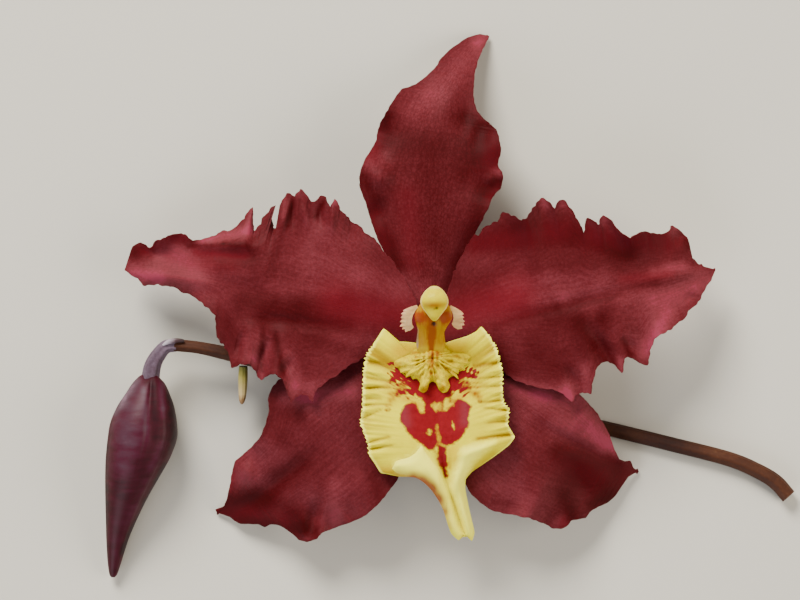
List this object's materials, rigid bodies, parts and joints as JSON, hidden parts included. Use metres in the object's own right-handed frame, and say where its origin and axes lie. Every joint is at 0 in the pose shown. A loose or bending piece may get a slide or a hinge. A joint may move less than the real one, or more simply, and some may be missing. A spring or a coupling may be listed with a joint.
{
  "type": "cambria orchid spray",
  "caption": "Cut orchid spray lying face up: open bloom with waved crimson tepals and a yellow lip, a closed bud, bracts and their stem.",
  "frame": {"origin": "middle of the spray's bounding box, on the surface that it lies on", "axes": "+Z out of the bloom's face, away from the surface; +Y towards the tip of the dorsal sepal; +X towards the cut end of the stem"},
  "size_m": [0.1039, 0.082, 0.0227],
  "materials": {
    "tepal_red": "satin",
    "lip_yellow": "satin",
    "crest_yellow": "satin",
    "column_orange": "satin",
    "wing_cream": "satin",
    "cap_yellow": "satin",
    "stem_brown": "satin",
    "ovary_green": "satin",
    "bud_purple": "satin",
    "bract_cream": "matte"
  },
  "bodies": {
    "root": {"rachis": "stem_brown", "bloom_ovary": "ovary_green", "dorsal_sepal": "tepal_red", "left_sepal": "tepal_red", "right_sepal": "tepal_red", "left_petal": "tepal_red", "right_petal": "tepal_red", "lip": "lip_yellow", "crest": "crest_yellow", "column": "column_orange", "left_column_wing": "wing_cream", "right_column_wing": "wing_cream", "anther_cap": "cap_yellow", "bud_ovary": "bud_purple", "bud": "bud_purple", "bloom_bract": "bract_cream", "middle_bract": "bract_cream", "bud_bract": "bract_cream"}
  },
  "joints": []
}
